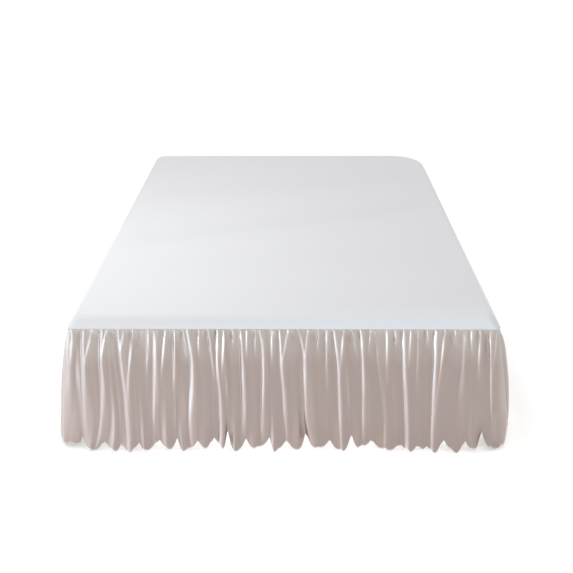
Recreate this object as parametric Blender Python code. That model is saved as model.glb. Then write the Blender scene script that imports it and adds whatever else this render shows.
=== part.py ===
"""Bed skirt on a plain bed base.

A deck panel lies on the bed and rolls over its edges. A gathered ruffle with a scalloped hem hangs
from the panel's rim down the foot and both sides, and the head end is open. The ruffle is cut in
three strips, each a thin closed sheet in the folds that it hangs in.

Metres, +Z up. The foot faces -Y and the bed's width runs along X. While the pieces are made, x is 0
on the bed's centre line, y is 0 at the foot face and z is 0 on the floor; the empty that carries
them then brings the middle of the whole part to the origin.
"""

import math

import bmesh
import bpy
import numpy as np

# The bed and the panel over it.
BED_WIDTH = 1.500
BED_LENGTH = 2.000
TOP_HEIGHT = 0.500
CLOTH = 0.002
GAP = 0.0003
DRAPE_CLEARANCE = 0.002
ROLL_RADIUS = 0.025
ROLL_TURN = math.radians(61)
RIM_DROP = 0.040
SEAM_OUT = 0.012
FOOT_CORNER = 0.022
FLAT_CORNER = 0.008
SEAM_CORNER = 0.016
HEAD_CORNER_LEFT = 0.060
HEAD_CORNER_RIGHT = 0.170
HEAD_TURN = math.radians(60)
CORNER_STEPS = 6
ROLL_STEPS = 4

# The base and its feet.
LEG_HEIGHT = 0.120
LEG_TOP_RADIUS = 0.032
LEG_FLOOR_RADIUS = 0.024
LEG_SIDES = 16
LEG_X = 0.640
LEG_Y = (0.130, 1.000, 1.840)
BASE_LOWER_EDGE = 0.006
BASE_CORNER = 0.030

# The ruffle: how it is hemmed, and how far it swings out on its way down. The hem hangs higher
# where the cloth stands further in, and under the seam the cloth between the folds falls back.
# Round the foot corners and at its two ends the whole ruffle is drawn in.
HEM_HEIGHT = 0.005
SCALLOP_PITCH = 0.044
SCALLOP_DEPTH = 0.006
COLUMNS_PER_SCALLOP = 5
HEM_LIFT = 2.2
LEVELS = (0.0, 0.05, 0.18, 0.50, 1.0)
MEAN_FLARE = 0.064
FLARE_POWER = 1.5
OPENING_POWER = 3.0
CORNER_DRAW = 0.018
CORNER_DRAW_WIDTH = 0.060
END_DRAW = 0.040
END_DRAW_WIDTH = 0.120
PIT_DEPTH = 0.006
PIT_PLACE = 0.05
PUFF_DEPTHS = (0.012, 0.2)
GATHER_RISE = 0.009
GATHER_WIDTH = 0.026
FADE = 1.25
FLANK = (0.005, 0.002)
SHOULDER = (0.012, 0.010)
SPREAD = 0.35
FLANK_ROOM = 0.006
STRIP_END = 0.835
MAX_LEAN = 2.2
FINE_STEP = 0.0005

# Places along the ruffle are measured in metres along the seam from the middle of the foot,
# positive to the right. A ridge is a fold that runs from the seam to the hem: where its crest lies
# at the seam, at a fifth and at half of the drop and at the hem, and how far it stands out of the
# cloth beside it at half of the drop and at the hem.
RIDGES = (
    # seam, fifth, half, hem, rise, hem rise
    (-0.800, -0.797, -0.790, -0.784, 0.014, 0.004),
    (-0.758, -0.758, -0.758, -0.758, 0.010, 0.009),
    (-0.706, -0.712, -0.716, -0.730, 0.014, 0.012),
    (-0.641, -0.650, -0.652, -0.688, 0.012, 0.003),
    (-0.585, -0.581, -0.572, -0.563, 0.015, 0.014),
    (-0.453, -0.457, -0.464, -0.470, 0.011, 0.008),
    (-0.340, -0.328, -0.331, -0.333, 0.015, 0.013),
    (-0.233, -0.235, -0.231, -0.235, 0.015, 0.014),
    (-0.152, -0.151, -0.148, -0.153, 0.013, 0.010),
    (-0.082, -0.074, -0.075, -0.076, 0.012, 0.010),
    (-0.014, -0.012, -0.003, 0.006, 0.013, 0.010),
    (0.050, 0.069, 0.077, 0.087, 0.014, 0.013),
    (0.174, 0.186, 0.198, 0.213, 0.014, 0.013),
    (0.270, 0.277, 0.283, 0.290, 0.015, 0.012),
    (0.324, 0.332, 0.351, 0.368, 0.006, 0.004),
    (0.420, 0.423, 0.433, 0.446, 0.013, 0.012),
    (0.532, 0.532, 0.533, 0.538, 0.015, 0.014),
    (0.630, 0.636, 0.630, 0.643, 0.008, 0.004),
    (0.721, 0.728, 0.740, 0.746, 0.014, 0.012),
    (0.760, 0.762, 0.764, 0.766, 0.012, 0.006),
)

# A gather is a short fold that starts at the seam and dies out: where it starts, where it ends,
# and how far down it reaches as a share of the drop.
GATHERS = (
    # seam, end, reach
    (-0.768, -0.764, 0.30),
    (-0.742, -0.748, 0.24),
    (-0.671, -0.703, 0.26),
    (-0.621, -0.645, 0.24),
    (-0.557, -0.580, 0.20),
    (-0.530, -0.553, 0.48),
    (-0.476, -0.484, 0.33),
    (-0.414, -0.434, 0.40),
    (-0.384, -0.390, 0.48),
    (-0.356, -0.343, 0.20),
    (-0.298, -0.298, 0.20),
    (-0.266, -0.243, 0.44),
    (-0.207, -0.218, 0.38),
    (-0.182, -0.177, 0.12),
    (-0.128, -0.129, 0.26),
    (-0.100, -0.098, 0.20),
    (-0.040, -0.041, 0.30),
    (0.016, -0.003, 0.27),
    (0.085, 0.077, 0.26),
    (0.121, 0.122, 0.18),
    (0.149, 0.156, 0.46),
    (0.211, 0.202, 0.32),
    (0.237, 0.259, 0.20),
    (0.307, 0.299, 0.22),
    (0.363, 0.368, 0.42),
    (0.389, 0.397, 0.14),
    (0.447, 0.442, 0.28),
    (0.471, 0.474, 0.42),
    (0.503, 0.507, 0.12),
    (0.565, 0.546, 0.62),
    (0.599, 0.601, 0.12),
    (0.658, 0.662, 0.16),
    (0.686, 0.693, 0.38),
    (0.747, 0.741, 0.34),
    (0.786, 0.790, 0.26),
)

# A swell is a broad fold that opens near the hem: where its crest and the hollow after it lie
# along the hem, and how far out from the seam each of them stands there.
SWELLS = (
    # crest, out, hollow, out
    (-0.806, 0.095, -0.776, 0.091),
    (-0.756, 0.095, -0.736, 0.083),
    (-0.702, 0.100, -0.650, 0.085),
    (-0.616, 0.100, -0.592, 0.089),
    (-0.566, 0.100, -0.524, 0.084),
    (-0.505, 0.098, -0.449, 0.080),
    (-0.418, 0.096, -0.386, 0.081),
    (-0.364, 0.099, -0.312, 0.082),
    (-0.284, 0.093, -0.252, 0.078),
    (-0.220, 0.092, -0.203, 0.067),
    (-0.178, 0.100, -0.136, 0.080),
    (-0.105, 0.094, -0.050, 0.078),
    (-0.034, 0.099, 0.008, 0.082),
    (0.056, 0.096, 0.079, 0.072),
    (0.118, 0.092, 0.168, 0.083),
    (0.210, 0.098, 0.246, 0.074),
    (0.272, 0.092, 0.314, 0.081),
    (0.374, 0.096, 0.427, 0.089),
    (0.455, 0.097, 0.480, 0.089),
    (0.502, 0.094, 0.518, 0.090),
    (0.541, 0.098, 0.580, 0.079),
    (0.627, 0.100, 0.659, 0.082),
    (0.691, 0.097, 0.720, 0.072),
    (0.752, 0.097, 0.780, 0.070),
    (0.808, 0.094, 0.835, 0.086),
)
FIRST_HOLLOW = (-0.835, 0.087)

# The folds of the two sides follow one rule, each with its own pace.
SIDE_FOLD_PITCH = 0.088
SIDE_PITCH_SPREAD = 0.030
SIDE_CREST_OUT = (0.090, 0.099)
SIDE_HOLLOW_OUT = (0.079, 0.089)
LAST_CREST_OUT = 0.094
LAST_OUT = 0.088
SIDE_RIDGE_RISE = (0.009, 0.014)
SIDE_DRIFT = 0.020
GATHERS_PER_SIDE_FOLD = 2
SIDE_GATHER_REACH = (0.12, 0.45)
GOLDEN = 0.6180339887

SEAM_HEIGHT = TOP_HEIGHT - RIM_DROP
RUFFLE_TOP = SEAM_HEIGHT - GAP


# ---------------------------------------------------------------- plan outline


def outline(out, foot_corner):
    """Points of the bed's plan outline, moved out by out, counter-clockwise from foot left."""
    half = BED_WIDTH / 2
    corners = (
        # side, head, first angle, radius
        (-1, 0, 180, foot_corner),
        (1, 0, 270, foot_corner),
        (1, 1, 0, HEAD_CORNER_RIGHT + out),
        (-1, 1, 90, HEAD_CORNER_LEFT + out),
    )
    points = []
    for side, head, first_angle, radius in corners:
        centre_x = side * (half + out - radius)
        centre_y = BED_LENGTH + out - radius if head else radius - out
        for step in range(CORNER_STEPS + 1):
            angle = math.radians(first_angle + 90 * step / CORNER_STEPS)
            points.append((centre_x + radius * math.cos(angle), centre_y + radius * math.sin(angle)))
    return points


def seam_runs(side):
    """Runs along the seam on one side: half the foot, the foot arc, the side; and the head arc's radius."""
    head_radius = np.where(side < 0, HEAD_CORNER_LEFT, HEAD_CORNER_RIGHT) + SEAM_OUT
    foot_half = BED_WIDTH / 2 + SEAM_OUT - SEAM_CORNER
    straight = BED_LENGTH + 2 * SEAM_OUT - SEAM_CORNER - head_radius
    return foot_half, SEAM_CORNER * math.pi / 2, straight, head_radius


def seam_path(s):
    """Place on the seam line at s and the outward direction there, as arrays x, y, nx, ny."""
    side = np.where(s < 0, -1, 1)
    foot_half, foot_arc, straight, head_radius = seam_runs(side)
    past_foot = np.abs(s) - foot_half
    past_side = past_foot - foot_arc - straight
    foot_angle = np.clip(past_foot / SEAM_CORNER, 0, math.pi / 2)
    head_angle = np.clip(past_side / head_radius, 0, math.pi / 2)
    turn = foot_angle + head_angle
    x = np.clip(np.abs(s), 0, foot_half) + SEAM_CORNER * np.sin(foot_angle)
    x = x - head_radius * (1 - np.cos(head_angle))
    y = SEAM_CORNER * (1 - np.cos(foot_angle)) + np.clip(past_foot - foot_arc, 0, straight)
    y = y + head_radius * np.sin(head_angle) - SEAM_OUT
    return side * x, y, side * np.sin(turn), -np.cos(turn)


def seam_end(side):
    """The seam coordinate where the ruffle ends, round the head corner of one side."""
    foot_half, foot_arc, straight, head_radius = seam_runs(side)
    return side * float(foot_half + foot_arc + straight + head_radius * HEAD_TURN)


# ---------------------------------------------------------------- folds


def vary(count, low, high):
    """A value between low and high that jumps about evenly as count goes up."""
    return low + (high - low) * ((count * GOLDEN) % 1.0)


def side_folds(side):
    """Ridges, gathers and swells of one side, from the foot strip's end to the head."""
    ridges, gathers, swells = [], [], []
    end = abs(seam_end(side))
    hollow = STRIP_END
    count = 3 if side < 0 else 11
    while hollow + SIDE_FOLD_PITCH + SIDE_PITCH_SPREAD < end:
        pitch = SIDE_FOLD_PITCH + vary(count, -0.5, 0.5) * SIDE_PITCH_SPREAD
        crest = hollow + pitch * vary(count + 5, 0.38, 0.58)
        next_hollow = hollow + pitch
        swells.append((side * crest, vary(count + 2, *SIDE_CREST_OUT),
                       side * next_hollow, vary(count + 7, *SIDE_HOLLOW_OUT)))
        drift = side * SIDE_DRIFT * vary(count + 1, -0.5, 0.5)
        rise = vary(count + 4, *SIDE_RIDGE_RISE)
        line = side * crest
        ridges.append((line - drift, line - 0.7 * drift, line - 0.4 * drift, line, rise, rise))
        for step in range(GATHERS_PER_SIDE_FOLD):
            start = crest + pitch * (step + 1) / (GATHERS_PER_SIDE_FOLD + 1)
            shift = vary(count + 3 * step, -0.012, 0.012)
            reach = vary(count + 6 + 2 * step, *SIDE_GATHER_REACH)
            gathers.append((side * start, side * (start + shift), reach))
        hollow = next_hollow
        count += 1
    swells.append((side * (hollow + 0.5 * (end - hollow)), LAST_CREST_OUT, side * end, LAST_OUT))
    return ridges, gathers, swells


def all_folds():
    """Ridges, gathers and hem points of the whole ruffle, each in order along the seam."""
    left, right = side_folds(-1), side_folds(1)
    ridges = sorted(left[0] + list(RIDGES) + right[0])
    gathers = left[1] + list(GATHERS) + right[1]
    points = [FIRST_HOLLOW]
    for crest, out, hollow, hollow_out in left[2] + list(SWELLS) + right[2]:
        points += [(crest, out), (hollow, hollow_out)]
    return np.array(ridges), np.array(gathers), np.array(sorted(points))


RIDGE_TABLE, GATHER_TABLE, HEM_TABLE = all_folds()


def crest_line(ridge, t):
    """Where a ridge's crest lies at depth t: the cubic through its four places."""
    knots = (0.0, 0.2, 0.5, 1.0)
    place = 0.0
    for i, knot in enumerate(knots):
        weight = 1.0
        for j, other in enumerate(knots):
            if j != i:
                weight = weight * (t - other) / (knot - other)
        place = place + ridge[i] * weight
    return place


def drift(q, t):
    """Seam coordinate at depth t of the cloth that meets the hem at q: it follows the ridges."""
    ends = np.array([seam_end(-1), -STRIP_END, STRIP_END, seam_end(1)])
    at_hem = np.concatenate([RIDGE_TABLE[:, 3], ends])
    at_depth = np.concatenate([crest_line(RIDGE_TABLE.T, t), ends])
    order = np.argsort(at_hem)
    return np.interp(q, at_hem[order], at_depth[order])


def section(x, t, span):
    """A fold's section at x from its crest: steep on the left, round on top, then evenly down."""
    flank = FLANK[0] + FLANK[1] * t
    shoulder = SHOULDER[0] + SHOULDER[1] * t
    climb = 1 - (1 - np.clip((x + flank) / (flank + shoulder), 0, 1)) ** 3
    return climb * (1 - np.clip(x / span, 0, 1))


def swell_out(q):
    """How far out the hem stands at q: half cosine waves from hollow to crest to hollow."""
    place, out = HEM_TABLE.T
    i = np.clip(np.searchsorted(place, q) - 1, 0, len(place) - 2)
    part = np.clip((q - place[i]) / (place[i + 1] - place[i]), 0, 1)
    return out[i] + (out[i + 1] - out[i]) * (0.5 - 0.5 * np.cos(np.pi * part))


def draw_in(q):
    """How much nearer the seam the hem hangs: a bell round each foot corner, and half a bell at each end."""
    foot_half, foot_arc, _, _ = seam_runs(1)
    from_corner = np.abs(q) - foot_half - foot_arc / 2
    from_end = np.where(q < 0, -seam_end(-1), seam_end(1)) - np.abs(q)
    corner = CORNER_DRAW * np.exp(-(from_corner / CORNER_DRAW_WIDTH) ** 2)
    return corner + END_DRAW * np.exp(-(from_end / END_DRAW_WIDTH) ** 2)


def narrowing(place, t):
    """A fold's width along the seam over its width in the cloth, which fans out round a foot corner."""
    foot_half, foot_arc, _, _ = seam_runs(1)
    turning = 0 < abs(place) - foot_half < foot_arc
    return SEAM_CORNER / (SEAM_CORNER + MEAN_FLARE * t) if turning else 1.0


def puff(t):
    """How much of its height a fold has at depth t: none at the seam, half by a hundredth, all by a fifth."""
    first, second = (np.sin(np.pi / 2 * np.clip(t / depth, 0, 1)) for depth in PUFF_DEPTHS)
    return (first + second) / 2


def fold_out(s, t):
    """How far the ridges and gathers lift the cloth at seam coordinate s and depth t."""
    height = np.zeros_like(s)
    crests = np.array([crest_line(ridge, t) for ridge in RIDGE_TABLE])
    widest = GATHER_WIDTH + SPREAD * t
    spans = np.minimum(np.append(np.diff(crests), widest) - FLANK_ROOM, widest)
    for ridge, crest, span in zip(RIDGE_TABLE, crests, spans):
        rise = np.interp(t, (0.0, 0.5, 1.0), (0.7 * ridge[4], ridge[4], ridge[5]))
        height = np.maximum(height, rise * section((s - crest) / narrowing(crest, t), t, span))
    gather = np.zeros_like(s)
    for start, end, reach in GATHER_TABLE:
        place = start + (end - start) * min(t / reach, 1.0)
        rise = GATHER_RISE * max(1.0 - (t / (FADE * reach)) ** 2, 0.0)
        gather = np.maximum(gather, rise * section((s - place) / narrowing(place, t), t, GATHER_WIDTH))
    return puff(t) * (height + gather)


def cloth_out(q, t):
    """Distance of the ruffle's outer face from the seam line, for hem place q at depth t."""
    flare = MEAN_FLARE * (1 - (1 - t) ** FLARE_POWER)
    swell = (swell_out(q) - draw_in(q) - MEAN_FLARE) * t ** OPENING_POWER
    pit = PIT_DEPTH * t / PIT_PLACE * math.exp(1 - t / PIT_PLACE)
    return flare + swell - pit + fold_out(drift(q, t), t)


def ruffle_points(q, t, hem_z):
    """Outer and inner points of the ruffle at depth t, the inner ones a cloth's thickness behind."""
    x, y, nx, ny = seam_path(drift(q, t))
    out = cloth_out(q, t)
    along = np.hypot(np.gradient(x + nx * out), np.gradient(y + ny * out))
    steepness = np.abs(np.gradient(out)) / along
    lean = 1 / np.sqrt(np.maximum(1 - steepness ** 2, 1 / MAX_LEAN ** 2))
    inner = out - CLOTH * lean
    z = RUFFLE_TOP - t * (RUFFLE_TOP - hem_z)
    outer_points = np.stack([x + nx * out, y + ny * out, z], axis=1)
    inner_points = np.stack([x + nx * inner, y + ny * inner, z], axis=1)
    return outer_points, inner_points


def strip_columns(start, end):
    """Hem places of a strip's columns, even along the folded hem, and the hem's height at each."""
    q = np.arange(start, end, FINE_STEP)
    x, y, nx, ny = seam_path(q)
    out = cloth_out(q, 1.0)
    x, y = x + nx * out, y + ny * out
    length = np.concatenate([[0], np.hypot(np.diff(x), np.diff(y)).cumsum()])
    scallops = round(length[-1] / SCALLOP_PITCH)
    along = np.linspace(0, scallops, scallops * COLUMNS_PER_SCALLOP + 1)
    columns = np.interp(along / scallops * length[-1], length, q)
    lift = HEM_LIFT * (HEM_TABLE[:, 1].max() - swell_out(columns))
    hem_z = HEM_HEIGHT + lift + SCALLOP_DEPTH * (1 - np.abs(np.sin(np.pi * along)))
    return columns, hem_z


# ---------------------------------------------------------------- meshes


def paint(obj, name, colour, roughness):
    """Give an object its own Principled material."""
    material = bpy.data.materials.new(name)
    material.use_nodes = True
    shader = material.node_tree.nodes["Principled BSDF"]
    shader.inputs["Base Color"].default_value = (*colour, 1.0)
    shader.inputs["Roughness"].default_value = roughness
    shader.inputs["Metallic"].default_value = 0.0
    obj.data.materials.append(material)


def add_object(name, bm, parent):
    """Make an object of a bmesh, with its faces pointing out."""
    bmesh.ops.recalc_face_normals(bm, faces=bm.faces)
    mesh = bpy.data.meshes.new(name)
    bm.to_mesh(mesh)
    bm.free()
    obj = bpy.data.objects.new(name, mesh)
    bpy.context.scene.collection.objects.link(obj)
    obj.parent = parent
    return obj


def stack_rings(bm, rings):
    """Close a stack of equal rings with side faces and one cap at each end."""
    loops = [[bm.verts.new(point) for point in ring] for ring in rings]
    count = len(loops[0])
    for lower, upper in zip(loops, loops[1:]):
        for i in range(count):
            j = (i + 1) % count
            bm.faces.new((lower[i], lower[j], upper[j], upper[i]))
    bm.faces.new(list(reversed(loops[0])))
    bm.faces.new(loops[-1])


def panel_rings(thickness):
    """Rings of the panel's skin at a depth below its face: the roll, then the rim down to the seam."""
    radius = ROLL_RADIUS - thickness
    rings = []
    for step in range(ROLL_STEPS + 1):
        angle = ROLL_TURN * step / ROLL_STEPS
        corner = FLAT_CORNER + (FOOT_CORNER - FLAT_CORNER) * step / ROLL_STEPS
        out = radius * math.sin(angle) - ROLL_RADIUS
        z = TOP_HEIGHT - ROLL_RADIUS + radius * math.cos(angle)
        rings.append([(x, y, z) for x, y in outline(out, corner - thickness)])
    out = SEAM_OUT - thickness / math.sin(ROLL_TURN)
    rings.append([(x, y, SEAM_HEIGHT) for x, y in outline(out, SEAM_CORNER - thickness)])
    return rings


def make_top_panel(parent):
    """The deck panel: an open tray of cloth, its outer skin over its inner one."""
    bm = bmesh.new()
    stack_rings(bm, panel_rings(CLOTH) + list(reversed(panel_rings(0.0))))
    obj = add_object("top_panel", bm, parent)
    paint(obj, "white_plain_weave", (0.86, 0.86, 0.88), 0.85)


def make_base(parent):
    """The plain upholstered base, under the panel and clear of its rim."""
    bm = bmesh.new()
    inset = CLOTH + DRAPE_CLEARANCE
    radius = ROLL_RADIUS - CLOTH - GAP
    rings = [
        [(x, y, z) for x, y in outline(-inset - edge, BASE_CORNER - inset - edge)]
        for edge, z in ((BASE_LOWER_EDGE, LEG_HEIGHT), (0.0, LEG_HEIGHT + BASE_LOWER_EDGE))
    ]
    for step in range(ROLL_STEPS + 1):
        angle = math.pi / 2 * step / ROLL_STEPS
        drawn_in = ROLL_RADIUS - (ROLL_RADIUS - inset) * math.cos(angle)
        z = TOP_HEIGHT - ROLL_RADIUS + radius * math.sin(angle)
        rings.append([(x, y, z) for x, y in outline(-drawn_in, BASE_CORNER - drawn_in)])
    stack_rings(bm, rings)
    obj = add_object("base", bm, parent)
    paint(obj, "pale_upholstery", (0.62, 0.58, 0.53), 0.9)


def make_legs(parent):
    """Six plain turned feet under the base, in two rows."""
    for side, word in ((-1, "left"), (1, "right")):
        for row, y in zip(("foot", "middle", "head"), LEG_Y):
            bm = bmesh.new()
            bmesh.ops.create_cone(
                bm,
                cap_ends=True,
                segments=LEG_SIDES,
                radius1=LEG_FLOOR_RADIUS,
                radius2=LEG_TOP_RADIUS,
                depth=LEG_HEIGHT - GAP,
            )
            obj = add_object(f"leg_{row}_{word}", bm, parent)
            obj.location = (side * LEG_X, y, (LEG_HEIGHT - GAP) / 2)
            paint(obj, "oiled_beech", (0.52, 0.36, 0.22), 0.5)


def make_ruffle_strip(name, start, end, parent):
    """One strip of the ruffle, a closed sheet from seam to hem between two places on the seam."""
    columns, hem_z = strip_columns(start, end)
    outer, inner = zip(*(ruffle_points(columns, t, hem_z) for t in LEVELS))
    bm = bmesh.new()
    rows = [[bm.verts.new(point) for point in row] for row in list(outer) + list(reversed(inner))]
    rows.append(rows[0])
    for upper, lower in zip(rows, rows[1:]):
        for i in range(len(columns) - 1):
            bm.faces.new((upper[i], lower[i], lower[i + 1], upper[i + 1]))
    for i in (0, -1):
        for level in range(len(LEVELS) - 1):
            behind = -2 - level
            bm.faces.new((rows[level][i], rows[level + 1][i],
                          rows[behind - 1][i], rows[behind][i]))
    bmesh.ops.triangulate(bm, faces=bm.faces)
    obj = add_object(name, bm, parent)
    paint(obj, "champagne_microfibre", (0.70, 0.62, 0.57), 0.6)


def make_ruffle(parent):
    """The three strips, end to end with a gap between them."""
    half_gap = GAP / 2
    make_ruffle_strip("ruffle_left", seam_end(-1), -STRIP_END - half_gap, parent)
    make_ruffle_strip("ruffle_foot", -STRIP_END + half_gap, STRIP_END - half_gap, parent)
    make_ruffle_strip("ruffle_right", STRIP_END + half_gap, seam_end(1), parent)


def centre_on_origin(parent):
    """Move the carrying empty so that the whole part stands on the middle of its own outline."""
    bpy.context.view_layer.update()
    corners = [
        obj.matrix_world @ vertex.co
        for obj in parent.children
        for vertex in obj.data.vertices
    ]
    for axis in (0, 1):
        values = [corner[axis] for corner in corners]
        parent.location[axis] = -(min(values) + max(values)) / 2


def main():
    for obj in list(bpy.data.objects):
        bpy.data.objects.remove(obj, do_unlink=True)
    parent = bpy.data.objects.new("bed_centre", None)
    bpy.context.scene.collection.objects.link(parent)
    make_top_panel(parent)
    make_base(parent)
    make_legs(parent)
    make_ruffle(parent)
    centre_on_origin(parent)


main()
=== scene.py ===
"""Dresses the bed skirt: the deck panel, the gathered ruffle, the base's cover and the feet, in daylight."""

import math

import bpy
import numpy as np
from mathutils import Matrix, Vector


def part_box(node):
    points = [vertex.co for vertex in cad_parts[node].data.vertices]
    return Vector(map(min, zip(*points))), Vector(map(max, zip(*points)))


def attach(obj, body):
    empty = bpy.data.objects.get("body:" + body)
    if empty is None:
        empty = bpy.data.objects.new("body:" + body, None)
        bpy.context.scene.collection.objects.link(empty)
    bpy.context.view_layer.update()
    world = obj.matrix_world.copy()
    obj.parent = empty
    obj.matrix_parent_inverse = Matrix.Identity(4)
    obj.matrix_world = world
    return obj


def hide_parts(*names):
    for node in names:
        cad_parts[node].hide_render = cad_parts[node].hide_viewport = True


bl_info = {
    "name": "Bed skirt dresser",
    "version": (1, 0, 0),
    "blender": (4, 5, 0),
    "location": "3D View > Sidebar > Bed skirt",
    "description": "Makes the cloth, cover and feet of a bed skirt on its base, and the stage",
    "category": "Object",
}

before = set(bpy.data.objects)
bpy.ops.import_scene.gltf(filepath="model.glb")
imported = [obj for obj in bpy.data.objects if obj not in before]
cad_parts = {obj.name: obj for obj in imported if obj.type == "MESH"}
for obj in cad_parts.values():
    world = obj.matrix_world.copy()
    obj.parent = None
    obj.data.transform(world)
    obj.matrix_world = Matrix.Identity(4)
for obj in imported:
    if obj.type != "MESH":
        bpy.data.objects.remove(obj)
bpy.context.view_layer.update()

# The bed in its own place: x is 0 on its centre line, y is 0 at the foot face, z is 0 on the floor.
# The deck panel's rim ends in the seam, which stands a little way out from the bed.
SEAM_OUT = 0.012
DECK_LOW, DECK_HIGH = (np.array(corner, dtype=float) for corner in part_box("top_panel"))
BED_WIDTH = float(DECK_HIGH[0] - DECK_LOW[0]) - 2 * SEAM_OUT
BED_LENGTH = float(DECK_HIGH[1] - DECK_LOW[1]) - 2 * SEAM_OUT
TOP_HEIGHT = float(DECK_HIGH[2])
SEAM_HEIGHT = float(DECK_LOW[2])
LEG_HEIGHT = float(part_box("base")[0][2])
BED_PLACE = np.array([(DECK_LOW[0] + DECK_HIGH[0]) / 2, DECK_LOW[1] + SEAM_OUT, 0.0])
GAP = 0.0003

# Points in each eighth circle of the bed's plan, how much closer they are at an edge's two ends, and
# how many there are across and along the deck and the base.
ARC_POINTS = 12
EDGE_EASE = 0.35
DECK_GRID = (141, 181)
BASE_GRID = (61, 81)

# The deck panel rolls over the bed's edge and runs on straight to the seam, in rings at these shares
# of the way, and the last of them stand out in a bead. The corners are radii of the plan: at the foot
# they differ with the height, and at the head they are those of the bed.
ROLL_RADIUS = 0.025
ROLL_TURN = math.radians(61)
RIM_RINGS = (0.15, 0.3, 0.45, 0.6, 0.7, 0.77, 0.81, 0.85, 0.89, 0.93, 0.965, 0.985, 1.0)
BEAD_START = 0.77
FLAT_CORNER = 0.008
FOOT_CORNER = 0.022
SEAM_CORNER = 0.016
BASE_CORNER = 0.030
LEAST_CORNER = 0.002
HEAD_CORNER_LEFT = 0.060
HEAD_CORNER_RIGHT = 0.170

# The ruffle ends this far round each head corner, and its foot strip this far from the middle.
HEAD_TURN = math.radians(60)
STRIP_END = 0.835

# The ruffle's hem, and how far the cloth swings out on its way down. The hem hangs higher where the
# cloth stands further in, and it is drawn in at the foot corners and at the ruffle's two ends.
RUFFLE_TOP = SEAM_HEIGHT - GAP
HEM_HEIGHT = 0.005
HEM_LIFT = 2.2
MEAN_FLARE = 0.064
FLARE_POWER = 1.5
OPENING_POWER = 3.0
CORNER_DRAW = 0.018
CORNER_DRAW_WIDTH = 0.060
END_DRAW = 0.040
END_DRAW_WIDTH = 0.120

# Just under the seam the cloth between the folds falls back into a pit, and the folds swell out of
# the seam: half at once and the rest by a fifth of the drop, but slowly past the foot's corners.
PIT_DEPTH = 0.006
PIT_PLACE = 0.05
PIT_FADE = 0.003
PUFF_DEPTHS = (0.006, 0.2)
PUFF_EDGE = 0.760
PUFF_EDGE_FADE = 0.05

# A fold's section: its steep flank and its shoulder, each at the seam and how much it grows down
# the drop, how softly the flank starts, the room left for the next fold's flank, and how much the
# widest fold grows. A gather dies out a little past its reach.
FLANK = (0.005, 0.002)
FLANK_EASE = 1.25
FLANK_ROOM = 0.006
SHOULDER = (0.012, 0.010)
SPREAD = 0.35
GATHER_RISE = 0.009
GATHER_WIDTH = 0.026
GATHER_FADE = 1.25

# Puckers under the seam, and the slack and ripples of the hanging cloth: their waves and depths.
PUCKER_WAVES = (0.0190, 0.0091)
PUCKER_DEPTH = 0.0013
PUCKER_START = 0.012
PUCKER_END = 0.10
SLACK_WAVES = (0.083, 0.31)
SLACK_DEPTH = 0.0012
RIPPLE_WAVE = 0.034
RIPPLE_DEPTH = 0.0006

# Rows of faces: they widen down the drop to the hem band, which is its last share, and then lie at
# these shares of the band over the hem.
UPPER_ROWS = 36
ROW_WIDENING = 1.7
HEM_BAND = 0.035
HEM_ROWS = (0.75, 0.55, 0.38, 0.26, 0.17, 0.09, 0.03, 0.0)

# The hem is measured in fine steps. Where the cloth slopes, its thickness counts up to this many times.
FINE_STEP = 0.0005
MAX_LEAN = 2.2

# Places along the ruffle are measured in metres along the seam from the middle of the foot,
# positive to the right. A ridge is a fold that runs from the seam to the hem: where its crest lies
# at the seam, at a fifth and at half of the drop and at the hem, and how far it stands out of the
# cloth beside it at half of the drop and at the hem.
RIDGES = (
    # seam, fifth, half, hem, rise, hem rise
    (-0.800, -0.797, -0.790, -0.784, 0.014, 0.004),
    (-0.758, -0.758, -0.758, -0.758, 0.010, 0.009),
    (-0.706, -0.712, -0.716, -0.730, 0.014, 0.012),
    (-0.641, -0.650, -0.652, -0.688, 0.012, 0.003),
    (-0.585, -0.581, -0.572, -0.563, 0.015, 0.014),
    (-0.453, -0.457, -0.464, -0.470, 0.011, 0.008),
    (-0.340, -0.328, -0.331, -0.333, 0.015, 0.013),
    (-0.233, -0.235, -0.231, -0.235, 0.015, 0.014),
    (-0.152, -0.151, -0.148, -0.153, 0.013, 0.010),
    (-0.082, -0.074, -0.075, -0.076, 0.012, 0.010),
    (-0.014, -0.012, -0.003, 0.006, 0.013, 0.010),
    (0.050, 0.069, 0.077, 0.087, 0.014, 0.013),
    (0.174, 0.186, 0.198, 0.213, 0.014, 0.013),
    (0.270, 0.277, 0.283, 0.290, 0.015, 0.012),
    (0.324, 0.332, 0.351, 0.368, 0.006, 0.004),
    (0.420, 0.423, 0.433, 0.446, 0.013, 0.012),
    (0.532, 0.532, 0.533, 0.538, 0.015, 0.014),
    (0.630, 0.636, 0.630, 0.643, 0.008, 0.004),
    (0.721, 0.728, 0.740, 0.746, 0.014, 0.012),
    (0.760, 0.762, 0.764, 0.766, 0.012, 0.006),
)

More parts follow.
